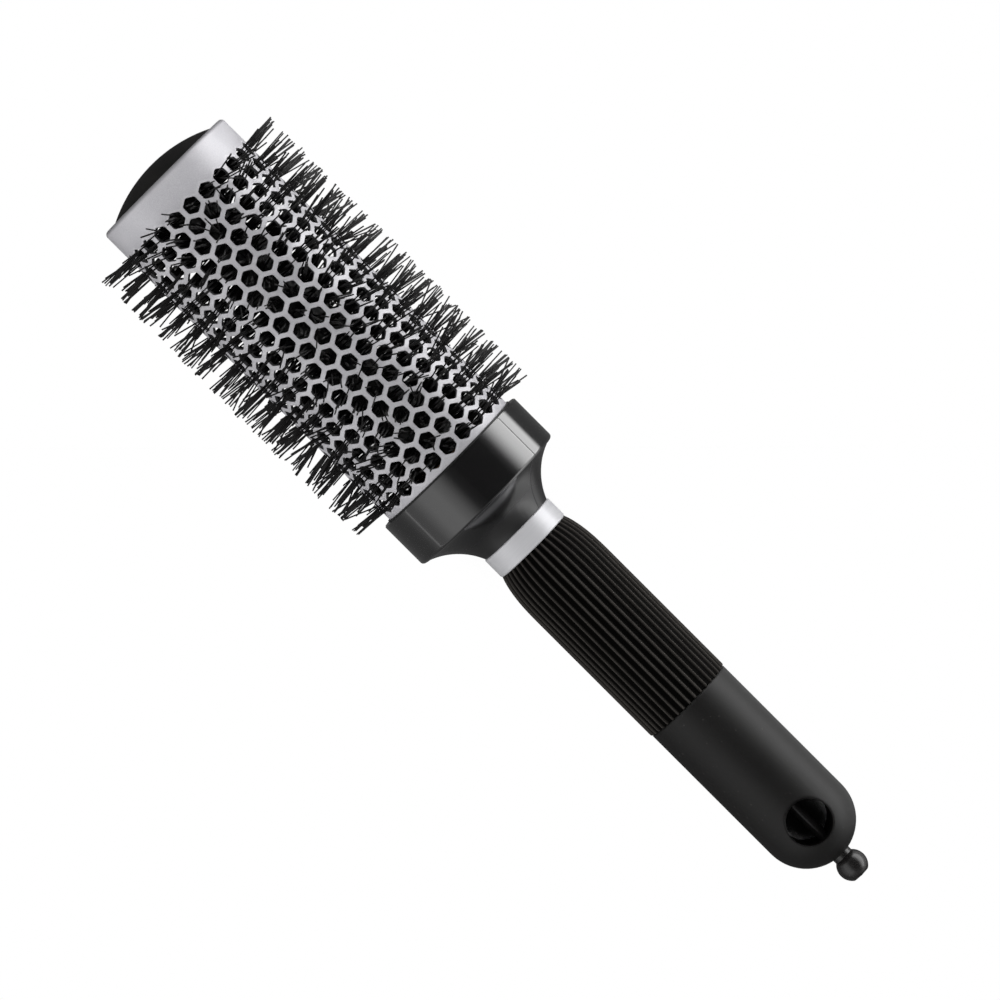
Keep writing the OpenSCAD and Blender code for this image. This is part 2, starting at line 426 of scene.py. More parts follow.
def polished(tree, place):
    x, radius, angle = brush_polar(tree, place)
    fine = noise(tree, place, 3.0 * MM, 3.0)
    broad = noise(tree, place, 14 * MM, 2.0)
    turned_by = (angle + (PARTING / math.tau + 0.5)) * 2
    apart = tree.math("ABSOLUTE", turned_by - tree.math("ROUND", turned_by)) * math.pi * radius
    line = 1 - tree.ease(apart, PARTING_HALF, 2.2 * PARTING_HALF)
    flare = 1 - tree.ease(radius, collar_high.z - FLARE_WHOLE, collar_high.z - FLARE_STARTS)
    neck = 1 - tree.ease(x, NECK_WHOLE, NECK_ENDS)
    return {
        "Base Color": blend(tree, fine * 0.6 + broad * 0.4, *COLLAR_TONES),
        "Roughness": 0.12 + (fine - 0.5) * 0.05 + line * 0.5 + flare * 0.08 + neck * 0.16,
        "Coat Weight": 0.9 - line * 0.8 - flare * 0.8,
        "Normal": bump(tree, fine * 0.2 + line, 0.05 * MM, 0.5),
    }


collar_gloss = finish("collar_gloss", polished, {"Specular IOR Level": 1.0, "Coat Roughness": 0.06})


# %% [markdown]
# The tail has a soft-touch paint: a matte skin so fine that it only shows as a broad sheen. Paint
# draws back from sharp edges, so the lip of the hanging hole shades as a soft round. A Bevel node
# gives that: it blends the normals of faces that meet within its radius. A few pale scuffs and
# specks of dust sit on it, as on any handle that has been in a drawer.


# %% Soft-touch paint
LIP_SOFT = 0.9 * MM
PAINT_TONES = (0.0028, 0.0027, 0.0026), (0.0046, 0.0043, 0.0041)


def soft_touch(tree, place):
    fine = noise(tree, place, 0.18 * MM, 3.0)
    broad = noise(tree, place, 14 * MM, 2.0)
    rounded = tree.node("ShaderNodeBevel", {"samples": 8}, {"Radius": LIP_SOFT})
    specks = tree.ease(noise(tree, place, 0.8 * MM, 1.0), 0.735, 0.80)
    drawn_out = tree.vector("MULTIPLY", place, (0.35, 1.0, 1.0))
    scuffs = tree.ease(noise(tree, drawn_out, 1.6 * MM, 4.0), 0.70, 0.80) * 0.35
    marks = tree.math("MAXIMUM", specks, scuffs)
    paint = blend(tree, fine * 0.6 + broad * 0.4, *PAINT_TONES)
    skin = {"Height": fine, "Distance": 0.012 * MM, "Strength": 0.5, "Normal": rounded}
    return {
        "Base Color": tree.node("ShaderNodeMix", {"data_type": "RGBA"}, {
            "Factor": marks, "A": paint, "B": (0.032, 0.031, 0.030, 1)}),
        "Roughness": 0.50 + (fine - 0.5) * 0.08 + (broad - 0.5) * 0.08 + marks * 0.2,
        "Normal": tree.node("ShaderNodeBump", None, skin),
    }


tail_paint = finish("tail_paint", soft_touch, {"Specular IOR Level": 0.4})


# %% [markdown]
# The ferrule is a spun aluminium band. Its brushing runs round it, so the noise is stretched:
# fine along the axis and long round it. The stem is bare wire and takes the same lines.


# %% Bright metals
LINES_ALONG, LINES_ROUND, LINES_OUT = 9000, 14, 900  # per metre, per turn and per metre


def brushed(tree, place):
    x, radius, angle = brush_polar(tree, place)
    stretched = tree.join(x * LINES_ALONG, angle * LINES_ROUND, radius * LINES_OUT)
    lines = noise(tree, stretched, 1.0, 3.0)
    return {
        "Base Color": blend(tree, lines, (0.37, 0.37, 0.385), (0.46, 0.46, 0.475)),
        "Roughness": 0.30 + lines * 0.14,
        "Normal": bump(tree, lines, 0.01 * MM, 0.3),
    }


satin_metal = finish("satin_metal", brushed, {"Metallic": 0.25})
wire_metal = finish("wire_metal", brushed, {"Metallic": 1.0})


# %% [markdown]
# ## The perforated barrel
# Each hole owns a hexagon of the tube's wall, its cell in the honeycomb. So one flat cell with a
# rounded hole, a soft pressed edge and a real wall thickness is enough: 480 copies tile the
# wall, and one bend wraps it round the axis. Cutting 480 holes with booleans would be slow and
# would leave long thin triangles that shade badly.


# %% One cell of the honeycomb
HOLE_FLATS = 4.22 * MM
CORNER_R = 0.45 * MM
WALL = 0.9 * MM
EDGE = 0.12 * MM
TOP, EDGE_FACE, BORE, INSIDE = range(4)  # the kinds of face; a plain band has PLAIN
PLAIN = -1
cell_w = math.tau * tube_r / holes_round


def hole_outline(grow_by):
    """The hexagonal hole with its corners cut to a soft round, as twelve points."""
    apothem = HOLE_FLATS / 2 + grow_by
    reach = (apothem - CORNER_R) * 2 / math.sqrt(3)
    points = []
    for corner in range(6):
        for side in (-1, 1):
            middle = math.radians(60 * corner)
            aim = middle + side * math.radians(30)
            points.append((
                reach * math.cos(middle) + CORNER_R * math.cos(aim),
                reach * math.sin(middle) + CORNER_R * math.sin(aim),
            ))
    return points


def border_steps():
    """How far the cell's border lies from its hole along the axis: nearest, middle, farthest."""
    half = cell_w / 2
    near = (row_pitch**2 - half**2) / (2 * row_pitch)
    far = (row_pitch**2 + half**2) / (2 * row_pitch)
    return near, (near + far) / 2, far


def cell_outline():
    """The cell's own border: the points nearer to this hole than to any other."""
    half = cell_w / 2
    near, middle, far = border_steps()
    return [
        (far, 0), (middle, half / 2), (near, half), (-near, half), (-middle, half / 2),
        (-far, 0), (-middle, -half / 2), (-near, -half), (near, -half), (middle, -half / 2),
    ]


def zip_rings(outer, inner):
    """Triangles between two closed rings of (index, angle), walking both by angle."""
    triangles = []
    i = j = 0
    while i < len(outer) or j < len(inner):
        a, b = outer[i % len(outer)], inner[j % len(inner)]
        turn_a = outer[(i + 1) % len(outer)][1] + math.tau * ((i + 1) // len(outer))
        turn_b = inner[(j + 1) % len(inner)][1] + math.tau * ((j + 1) // len(inner))
        if j >= len(inner) or (i < len(outer) and turn_a < turn_b):
            triangles.append((a[0], outer[(i + 1) % len(outer)][0], b[0]))
            i += 1
        else:
            triangles.append((a[0], inner[(j + 1) % len(inner)][0], b[0]))
            j += 1
    return triangles


def honeycomb_cell():
    rings = [
        [(*p, 0) for p in cell_outline()],
        [(*p, 0) for p in hole_outline(EDGE)],
        [(*p, -EDGE) for p in hole_outline(0)],
        [(*p, -WALL) for p in hole_outline(0)],
        [(*p, -WALL) for p in cell_outline()],
    ]
    starts = np.cumsum([0] + [len(r) for r in rings])
    points = [p for ring in rings for p in ring]

    def by_angle(k):
        turns = [math.atan2(y, x) % math.tau for x, y, z in rings[k]]
        ring = [(starts[k] + n, turn) for n, turn in enumerate(turns)]
        return sorted(ring, key=lambda item: item[1])

    faces = [(t, TOP) for t in zip_rings(by_angle(0), by_angle(1))]
    for kind, k in ((EDGE_FACE, 1), (BORE, 2)):
        count = len(rings[k])
        here, below = starts[k], starts[k + 1]
        for n in range(count):
            m = (n + 1) % count
            faces.append(((here + n, here + m, below + m, below + n), kind))
    faces += [(t[::-1], INSIDE) for t in zip_rings(by_angle(4), by_angle(3))]
    mesh = bpy.data.meshes.new("cell")
    mesh.from_pydata(points, [], [[int(v) for v in f] for f, _ in faces])
    kinds = mesh.attributes.new("kind", "INT", "FACE")
    kinds.data.foreach_set("value", [kind for _, kind in faces])
    print("one cell:", len(points), "points,", len(faces), "faces")
    return mesh


# %% [markdown]
# The group lays the cells out on the flat wall, row by row, with every second row moved by half
# a cell. Then it bends the sheet: y becomes the angle round the axis, and z the height above
# the tube. Shared borders are merged, so the wall is one closed skin.

# %% The wall by rule
WELD = 0.004 * MM  # points nearer than this are one

wall_group, tree, source = node_group("honeycomb_wall", {
    "Rows": ("Int", rows), "Holes Round": ("Int", holes_round), "Row Pitch": ("Float", row_pitch),
    "Tube Radius": ("Float", tube_r), "First Row": ("Float", first_row_x),
    "Material": ("Material", None),
})
index = tree.node("GeometryNodeInputIndex")
row = tree.math("FLOOR", index / source.at("Holes Round"))
column = index - row * source.at("Holes Round")
shift = tree.math("MODULO", row, 2.0) * 0.5
flat_y = (column + shift) * math.tau * source.at("Tube Radius") / source.at("Holes Round")
flat_x = source.at("First Row") - row * source.at("Row Pitch")
layout = tree.node("GeometryNodePoints", None, {
    "Count": source.at("Rows") * source.at("Holes Round"),
    "Position": tree.join(flat_x, flat_y, 0.0),
})
cells = tree.node("GeometryNodeInstanceOnPoints", None, {
    "Points": layout, "Instance": source.at("Geometry"),
})
sheet = tree.node("GeometryNodeRealizeInstances", None, {"Geometry": cells})
x, y, z = tree.split(tree.node("GeometryNodeInputPosition"))
angle = y / source.at("Tube Radius")
height = z + source.at("Tube Radius")
bent = tree.join(x, height * tree.math("SINE", angle), height * tree.math("COSINE", angle))
wrapped = tree.node("GeometryNodeSetPosition", None, {"Geometry": sheet, "Position": bent})
joined = tree.node("GeometryNodeMergeByDistance", None, {"Geometry": wrapped, "Distance": WELD})
close_group(tree, joined, source.at("Material"))
wall_mesh = grow("barrel_wall", honeycomb_cell(), wall_group, {"Material": ceramic_coat})
print("wall:", len(wall_mesh.polygons), "faces")


# %% [markdown]
# Plain bands close the tube at both ends. At the tip the metal is rolled inward to a flat lip
# round the dome. Each band starts on the honeycomb's own zigzag, so the two skins share points.


# %% End bands and the whole barrel
ROLL_R = 1.2 * MM  # outer radius of the rolled rim
LIP_W = 3 * MM  # the flat lip inside the rim
LIP_EDGE = 0.2 * MM
PLAIN_FROM = 5 * MM  # past the outer rows, the zigzag has become a plain circle
band_columns = 4 * holes_round


def zigzag(centre_x, side):
    """x of the honeycomb's border at each column round the tube."""
    near, middle, far = border_steps()
    wave = [far, middle, near, middle]
    return [centre_x + side * wave[n % 4] for n in range(band_columns)]


def band_mesh(bm, layer, rings, turn_by):
    """Adds a band through rings of (x, radius), where x is a number or one for each column."""
    step = math.tau / band_columns
    angles = [n * step + turn_by for n in range(band_columns)]
    grid = []
    for xs, radius in rings:
        xs = xs if isinstance(xs, list) else [xs] * band_columns
        grid.append([
            bm.verts.new((x, radius * math.sin(a), radius * math.cos(a)))
            for x, a in zip(xs, angles)
        ])
    for low, high in zip(grid, grid[1:]):
        for n in range(band_columns):
            m = (n + 1) % band_columns
            face = bm.faces.new((low[n], low[m], high[m], high[n]))
            face[layer] = PLAIN


def roll(centre_x, centre_r, radius, start, end, steps):
    """Points of (x, radius) on an arc about a centre, from the angle start to end."""
    angles = [start + (end - start) * n / steps for n in range(steps + 1)]
    return [(centre_x + radius * math.sin(a), centre_r + radius * math.cos(a)) for a in angles]


bore_r = tube_r - WALL
lip_r = bore_r - LIP_W
rim_x = tube_high.x
bm = bmesh.new()
bm.from_mesh(wall_mesh)
layer = bm.faces.layers.int["kind"]
border = zigzag(first_row_x, 1)
plain_x = first_row_x + PLAIN_FROM
rim = roll(rim_x - ROLL_R, tube_r - ROLL_R, ROLL_R, 0, math.pi / 2, 6)
inner = roll(rim_x - ROLL_R, tube_r - ROLL_R, ROLL_R - WALL, math.pi / 2, 0, 3)
band_mesh(bm, layer, [
    (border, tube_r), (plain_x, tube_r), *rim,
    (rim_x, lip_r + LIP_EDGE), (rim_x - LIP_EDGE, lip_r), (rim_x - WALL, lip_r),
    *inner, (plain_x, bore_r), (border, bore_r),
], 0)
border = zigzag(last_row_x, -1)
half_cell = (rows - 1) % 2 * math.pi / holes_round
band_mesh(bm, layer, [
    (border, tube_r), (last_row_x - PLAIN_FROM, tube_r),
    (tube_low.x, tube_r), (tube_low.x, bore_r), (border, bore_r),
], half_cell)
bmesh.ops.remove_doubles(bm, verts=bm.verts, dist=WELD)
bmesh.ops.recalc_face_normals(bm, faces=bm.faces)
bm.to_mesh(wall_mesh)
open_edges = sum(1 for e in bm.edges if not e.is_manifold)
bm.free()
barrel = add_object("barrel_shell", wall_mesh)
print("barrel:", len(wall_mesh.polygons), "faces,", open_edges, "open edges")


# %% [markdown]
# Averaged normals would make the flat webs look like round bars. The wall knows better: on top
# the normal is the tube's own, in the hole it is the hole's own, and the pressed edge turns
# from one to the other.


# %% Normals for the webs
BAND_CREASE = math.radians(40)


def set_web_normals(mesh):
    """Sets the corner normals by the kind of face. Gives how many faces the mesh has."""
    points = np.empty(len(mesh.vertices) * 3)
    mesh.vertices.foreach_get("co", points)
    points = points.reshape(-1, 3)
    radial = points * (0, 1, 1)
    radial /= np.linalg.norm(radial, axis=1)[:, None]
    kinds = np.empty(len(mesh.polygons), int)
    mesh.attributes["kind"].data.foreach_get("value", kinds)
    starts = np.array([p.loop_start for p in mesh.polygons])
    totals = np.array([p.loop_total for p in mesh.polygons])
    face_of = np.repeat(np.arange(len(totals)), totals)
    vertex_of = np.empty(len(mesh.loops), int)
    mesh.loops.foreach_get("vertex_index", vertex_of)
    face_normals = np.array([p.normal for p in mesh.polygons])
    kind_of = kinds[face_of]
    bore = np.zeros_like(points)
    in_bore = kind_of == BORE
    np.add.at(bore, vertex_of[in_bore], face_normals[face_of[in_bore]])
    length = np.linalg.norm(bore, axis=1)
    has_bore = length > 0
    bore[has_bore] /= length[has_bore][:, None]
    mesh.polygons.foreach_set("use_smooth", [True] * len(mesh.polygons))
    mesh.set_sharp_from_angle(angle=BAND_CREASE)
    normals = np.array([n.vector for n in mesh.corner_normals])
    normals[kind_of == TOP] = radial[vertex_of[kind_of == TOP]]
    normals[kind_of == INSIDE] = -radial[vertex_of[kind_of == INSIDE]]
    at_edge = vertex_of[kind_of == EDGE_FACE]
    turned_edge = np.where(has_bore[at_edge][:, None], bore[at_edge], radial[at_edge])
    normals[kind_of == EDGE_FACE] = turned_edge
    normals[in_bore] = bore[vertex_of[in_bore]]
    mesh.normals_split_custom_set([tuple(n) for n in normals])
    return len(starts)


print("faces with set normals:", set_web_normals(wall_mesh))
finish_piece(barrel, "brush", "ceramic_coated_barrel", "barrel_tube")

# %% [markdown]
# ## The bristles
# Nylon filaments are wound into the wire stem and come out through the holes in tufts. A
# filament is thin, nearly straight and cut square. One five-sided filament is made, and a group
# sends a few of them out through every hole: the tuft shares a lean, each filament adds its own,
# and the lengths differ because the tips wear and were never all equal.

# %% One filament
STRAND_SIDES = 5
STRAND_RINGS = (0.0, 0.55, 1.0)
STRAND_TAPER = 0.15


def filament():
    """A unit filament along +Z, with how far along it each point is."""
    bm = bmesh.new()
    rings = []
    turns = [math.tau * n / STRAND_SIDES for n in range(STRAND_SIDES)]
    for level in STRAND_RINGS:
        width = 1.0 - STRAND_TAPER * level
        rings.append([
            bm.verts.new((width * math.cos(t), width * math.sin(t), level)) for t in turns
        ])
    for low, high in zip(rings, rings[1:]):
        for n in range(STRAND_SIDES):
            m = (n + 1) % STRAND_SIDES
            bm.faces.new((low[n], low[m], high[m], high[n])).smooth = True
    bm.faces.new(rings[0][::-1])
    bm.faces.new(rings[-1])
    mesh = bpy.data.meshes.new("filament")
    bm.to_mesh(mesh)
    bm.free()
    far = mesh.attributes.new("along", "FLOAT", "POINT")
    far.data.foreach_set("value", [v.co.z for v in mesh.vertices])
    return mesh


# %% [markdown]
# Nylon is dyed through, so a filament is black with a hard, narrow shine along it. Its cut end
# is a little duller.


# %% Nylon
NYLON_TONES = (0.002, 0.002, 0.002), (0.007, 0.0065, 0.0065)


def nylon(tree, place):
    along_it = tree.node("ShaderNodeAttribute", {"attribute_name": "along"}).at("Fac")
    fleck = noise(tree, place, 1.2 * MM, 2.0)
    return {
        "Base Color": blend(tree, fleck * 0.6 + along_it * 0.4, *NYLON_TONES),
        "Roughness": 0.30 + fleck * 0.15 + along_it * 0.08,
    }


nylon_black = finish("nylon_black", nylon, {"Specular IOR Level": 0.35})

# %% [markdown]
# Three holes side by side lean as a clump, because the brush has been drawn through hair. Their
# tufts and filaments each add a lean of their own. A stray leans far more, and a short one has
# broken off. Leans are slopes: how far sideways a filament goes for each step outwards. The
# draws are numbered in the order of the lines, so a line that moves changes the brush.

# %% Tufts by rule
CLUMP_HOLES = 3
CLUMP_LEAN_X, CLUMP_LEAN_T = 0.26, 0.10  # along the axis, and round it
TUFT_LEAN, STRAND_LEAN, STRAY_GAIN = 0.10, 0.09, 4
STRAY_ABOVE, SHORT_ABOVE = 0.80, 0.92  # of a draw from 0 to 1
TUFT_OFF = 0.3 * MM  # how far a tuft stands off the middle of its hole
STRAND_OFF_X, STRAND_OFF_T = 1.35 * MM, 1.15 * MM
WORN_LEAST, WORN_MOST = 0.25 * MM, 0.8 * MM
SHORT_LEAST, SHORT_MOST = 1.0 * MM, 4.5 * MM
BOW = 0.8 * MM
BOW_BACK = 0.75  # how far out a bowed filament comes back to its straight line
THINNEST, THICKEST = 0.85, 1.1

tuft_group, tree, source = node_group("tufts", {
    "Rows": ("Int", rows), "Holes Round": ("Int", holes_round), "Row Pitch": ("Float", row_pitch),
    "First Row": ("Float", first_row_x), "Hole Radius": ("Float", tube_r - WALL / 2),
    "Tip Radius": ("Float", bristle_r), "Root Radius": ("Float", 7 * MM),
    "Strands": ("Int", 4), "Strand Radius": ("Float", 0.25 * MM), "Seed": ("Int", 7),
    "Material": ("Material", None),
})
index = tree.node("GeometryNodeInputIndex")
tuft = tree.math("FLOOR", index / source.at("Strands"))
row = tree.math("FLOOR", tuft / source.at("Holes Round"))
column = tuft - row * source.at("Holes Round")
shift = tree.math("MODULO", row, 2.0) * 0.5
draws = iter(range(1, 99))


def chance(low, high, identity):
    """A random value between low and high for each identity, with its own seed."""
    seed = source.at("Seed") * 31.0 + next(draws)
    inputs = {"Min": low, "Max": high, "ID": identity, "Seed": seed}
    return tree.node("FunctionNodeRandomValue", {"data_type": "FLOAT"}, inputs)


def bell(spread, identity):
    """A random value round 0 that is mostly small: the mean of two draws."""
    return (chance(-spread, spread, identity) + chance(-spread, spread, identity)) * 0.5


stray = tree.math("GREATER_THAN", chance(0.0, 1.0, index), STRAY_ABOVE)
short = tree.math("GREATER_THAN", chance(0.0, 1.0, index), SHORT_ABOVE)
offset_x = bell(TUFT_OFF, tuft) + chance(-STRAND_OFF_X, STRAND_OFF_X, index)
offset_t = bell(TUFT_OFF, tuft) + chance(-STRAND_OFF_T, STRAND_OFF_T, index)
clump = row * (holes_round // CLUMP_HOLES) + tree.math("FLOOR", column / CLUMP_HOLES)
gain = 1 + stray * STRAY_GAIN
lean_x = bell(CLUMP_LEAN_X, clump) + bell(TUFT_LEAN, tuft) + bell(STRAND_LEAN, index) * gain
lean_t = bell(CLUMP_LEAN_T, clump) + bell(TUFT_LEAN, tuft) + bell(STRAND_LEAN, index) * gain
hole_turn = (column + shift) * math.tau / source.at("Holes Round")
turn_round = hole_turn + offset_t / source.at("Hole Radius")
sine, cosine = tree.math("SINE", turn_round), tree.math("COSINE", turn_round)
heading = tree.join(lean_x, sine + lean_t * cosine, cosine - lean_t * sine)
worn = chance(WORN_LEAST, WORN_MOST, index) + short * chance(SHORT_LEAST, SHORT_MOST, index)
reach_r = source.at("Tip Radius") - worn
sideways = (reach_r - source.at("Hole Radius")) * lean_t
tip_r = tree.math("SQRT", reach_r * reach_r - sideways * sideways)
inward = source.at("Hole Radius") - source.at("Root Radius")
hole_x = source.at("First Row") - row * source.at("Row Pitch") + offset_x
root = tree.join(
    hole_x - lean_x * inward,
    source.at("Hole Radius") * sine - (sine + lean_t * cosine) * inward,
    source.at("Hole Radius") * cosine - (cosine - lean_t * sine) * inward,
)
stretch = tree.vector("LENGTH", heading).at("Value")
length = (tip_r - source.at("Root Radius")) * stretch
points = tree.node("GeometryNodePoints", None, {
    "Count": source.at("Rows") * source.at("Holes Round") * source.at("Strands"), "Position": root,
})
bend = tree.join(bell(BOW, index), bell(BOW, index), bell(BOW, index))
marked = tree.node("GeometryNodeStoreNamedAttribute", {"data_type": "FLOAT_VECTOR"}, {
    "Geometry": points, "Name": "bend", "Value": bend,
})
aim = tree.node("FunctionNodeAlignRotationToVector", {"axis": "Z"}, {"Vector": heading})
width = source.at("Strand Radius") * chance(THINNEST, THICKEST, index)
strands = tree.node("GeometryNodeInstanceOnPoints", None, {
    "Points": marked, "Instance": source.at("Geometry"), "Rotation": aim,
    "Scale": tree.join(width, width, length),
})
real = tree.node("GeometryNodeRealizeInstances", None, {"Geometry": strands})
named = "GeometryNodeInputNamedAttribute"
along_it = tree.node(named, {"data_type": "FLOAT"}, {"Name": "along"})
bend_by = tree.node(named, {"data_type": "FLOAT_VECTOR"}, {"Name": "bend"})
swing = tree.node("ShaderNodeVectorMath", {"operation": "SCALE"}, {
    0: bend_by, "Scale": along_it * along_it - along_it * BOW_BACK,
})
bowed = tree.node("GeometryNodeSetPosition", None, {"Geometry": real, "Offset": swing})
close_group(tree, bowed, source.at("Material"))
tuft_mesh = grow("bristle_tufts", filament(), tuft_group, {"Material": nylon_black})
tufts = add_object("bristle_tufts", tuft_mesh)
finish_piece(tufts, "brush", "nylon_bristle", *[f"bristles_{k:02d}" for k in range(1, 11)])


# %% [markdown]
# ## Turned pieces
# Most of the handle is turned or moulded round: a profile of (x, radius) points swept about the
# axis. `turned` makes the rings, closes a point on the axis to a single pole, and marks hard
# corners by their angle, so that the rest shades smooth.


# %% A lathe
def turned(name, profile, segments, closed, crease=35):
    """A mesh turned about X from (x, radius) points. closed joins the last ring to the first."""
    bm = bmesh.new()
    turns = [math.tau * n / segments for n in range(segments)]
    rings = []
    for px, radius in profile:
        rings.append([
            bm.verts.new((px, radius * math.sin(t), radius * math.cos(t)))
            for t in (turns if radius > 0 else [0])
        ])
    pairs = list(zip(rings, rings[1:])) + ([(rings[-1], rings[0])] if closed else [])
    for low, high in pairs:
        for n in range(segments):
            m = (n + 1) % segments
            around = (low, n), (low, m), (high, m), (high, n)
            corners = [ring[k % len(ring)] for ring, k in around]
            bm.faces.new(list(dict.fromkeys(corners)))  # at a pole two corners are one
    bmesh.ops.recalc_face_normals(bm, faces=bm.faces)
    mesh = bpy.data.meshes.new(name)
    bm.to_mesh(mesh)
    bm.free()
    mesh.polygons.foreach_set("use_smooth", [True] * len(mesh.polygons))
    mesh.set_sharp_from_angle(angle=math.radians(crease))
    return mesh


# %% [markdown]
# Inside, the filaments' roots are wound round the stem into a dense dark mat. It is turned as a
# rough spindle whose radius wanders, so that the holes look into something with depth.

# %% Root mat
MAT_R = 7.5 * MM
MAT_STEPS, MAT_TURNS = 120, 60
MAT_ROUGH = 0.22  # the share of the radius that it wanders in by
mat_from, mat_to = bristle_low.x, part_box("bristles_01")[1].x
mat_profile = [(mat_from, 0)] + [
    (mat_from + (mat_to - mat_from) * n / MAT_STEPS, MAT_R) for n in range(MAT_STEPS + 1)
] + [(mat_to, 0)]
mat_mesh = turned("root_mat", mat_profile, MAT_TURNS, False, 180)
wander = np.random.default_rng(11)
for vertex in mat_mesh.vertices:
    shrink = 1 - MAT_ROUGH * wander.random()
    vertex.co.y *= shrink
    vertex.co.z *= shrink
mat_mesh.materials.append(nylon_black)
root_mat = add_object("root_mat", mat_mesh)
finish_piece(root_mat, "brush", "nylon_bristle")

# %% [markdown]
# ## The ribbed grip
# The rubber sleeve swells from the ferrule and runs straight to the tail. Its 38 ribs are narrow
# rounded crests with wide hollows between them. The sleeve is turned first, at the crests' own
# radius and fine enough round for the ribs, and a group then lowers what lies between them.

# %% Rubber
RIBS = 38
RIB_H = 0.6 * MM
SWELL_L = 16 * MM
SEAM = 0.15 * MM  # the step and the small chamfers at the sleeve's ends
# the painted shade of the hollows, then the painted highlight of the crests
RUBBER_SHADE_TO_HIGHLIGHT = (0.0004, 0.0003, 0.0002), (0.034, 0.031, 0.028)
grip_r = 13.3 * MM
swell_h = grip_r - ferrule_high.z + SEAM


def grip_radius(px):
    """The crest's radius at x: a cubic ease from the ferrule over the swell."""
    left = max(0.0, 1 - (grip_high.x - px) / SWELL_L)
    return grip_r - swell_h * left**3


def rubber(tree, place):
    crest = tree.node("ShaderNodeAttribute", {"attribute_name": "crest"}).at("Fac")
    grain = noise(tree, place, 0.12 * MM, 2.0)
    patches = noise(tree, place, 6 * MM, 3.0)
    # The crests are painted light and the hollows dark: a painted highlight along each crest and
    # painted shade between, with random patches.
    shade = crest * (0.6 + patches * 0.5)
    return {
        "Base Color": blend(tree, shade, *RUBBER_SHADE_TO_HIGHLIGHT),
        "Roughness": 0.82 + grain * 0.10 - crest * 0.30,
        "Normal": bump(tree, grain, 0.015 * MM, 0.4),
    }


grip_rubber = finish("grip_rubber", rubber, {"Specular IOR Level": 0.10})

# %% [markdown]
# The rule turns a point's angle into a count of ribs and takes how far that is from a whole
# number. A smooth step from the crest to the foot lowers the point. The inside stays as it is.

# %% Ribs by rule
rib_group, tree, source = node_group("ribs", {
    "Ribs": ("Int", RIBS), "Rib Height": ("Float", RIB_H), "Crest": ("Float", 0.03),
    "Foot": ("Float", 0.22), "Sleeve Radius": ("Float", 10.4 * MM), "Material": ("Material", None),
})
place = tree.node("GeometryNodeInputPosition")
x, radius, angle = brush_polar(tree, place)
turns = angle * source.at("Ribs")
apart = tree.math("ABSOLUTE", turns - tree.math("ROUND", turns))
crest = 1 - tree.node("ShaderNodeMapRange", {"interpolation_type": "SMOOTHSTEP"}, {
    "Value": apart, "From Min": source.at("Crest"), "From Max": source.at("Foot"),
})
outside = tree.math("GREATER_THAN", radius, source.at("Sleeve Radius"))
hollow = (1 - crest) * outside * source.at("Rib Height")
shrink = (radius - hollow) / radius
x, y, z = tree.split(place)
marked = tree.node("GeometryNodeStoreNamedAttribute", {"data_type": "FLOAT"}, {
    "Geometry": source.at("Geometry"), "Name": "crest", "Value": crest * outside,
})
lowered = tree.node("GeometryNodeSetPosition", None, {
    "Geometry": marked, "Position": tree.join(x, y * shrink, z * shrink),
})
close_group(tree, lowered, source.at("Material"))

SLEEVE_R = 9.6 * MM  # inside
END_ROUND = 0.5 * MM
SWELL_STEPS, STRAIGHT_STEP = 12, 8 * MM
POINTS_PER_RIB = 12
steps = [grip_high.x - SWELL_L * n / SWELL_STEPS for n in range(SWELL_STEPS + 1)]
grip_profile = [(grip_high.x, SLEEVE_R), (grip_high.x, grip_radius(grip_high.x) - SEAM)]
grip_profile += [(px - SEAM * (n == 0), grip_radius(px)) for n, px in enumerate(steps)]
grip_profile += [(grip_high.x - SWELL_L - STRAIGHT_STEP * n, grip_r) for n in range(1, 6)]
grip_profile += [(grip_low.x + END_ROUND, grip_r), (grip_low.x + SEAM, grip_r - SEAM),
                 (grip_low.x, grip_r - END_ROUND), (grip_low.x, SLEEVE_R)]
sleeve_mesh = turned("sleeve", grip_profile, RIBS * POINTS_PER_RIB, True)
grip_mesh = grow("grip_ribs", sleeve_mesh, rib_group, {"Material": grip_rubber})
grip = add_object("grip_ribs", grip_mesh)
finish_piece(grip, "brush", "grip_rubber", "grip_sleeve")

# %% [markdown]
# ## Solids that stay
# The other solids already have their true shape and exact normals, so they only get a finish.

# %% Finishes for the solids
for node, material in {
    "tip_cap": cap_matte, "wire_stem": wire_metal, "heat_ring": ring_black,
    "barrel_plug": plug_brown, "collar": collar_gloss, "ferrule": satin_metal,
    "handle_body": tail_paint, "sectioning_pick": pick_gloss,
}.items():
    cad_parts[node].data.materials.clear()
    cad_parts[node].data.materials.append(material)
    print(f"{node}: {material.name}")

# %% [markdown]
# ## Light and floor
# A brush lies on its last rows of bristles and on its tail, so the floor is the plane that
# touches both. It is white to whoever looks at it, except close under the brush, where its
# openness falls: there the paper's real shadow shows, and the paper's colour is painted black
# as well, a painted shade. Right under the hanging hole the white is switched off by place, a
# painted shadow. Gloss sees the white dimmed near the brush, a painted shade in reflections:
# brighter farther out, and with a painted glowing strip along one side of the handle.

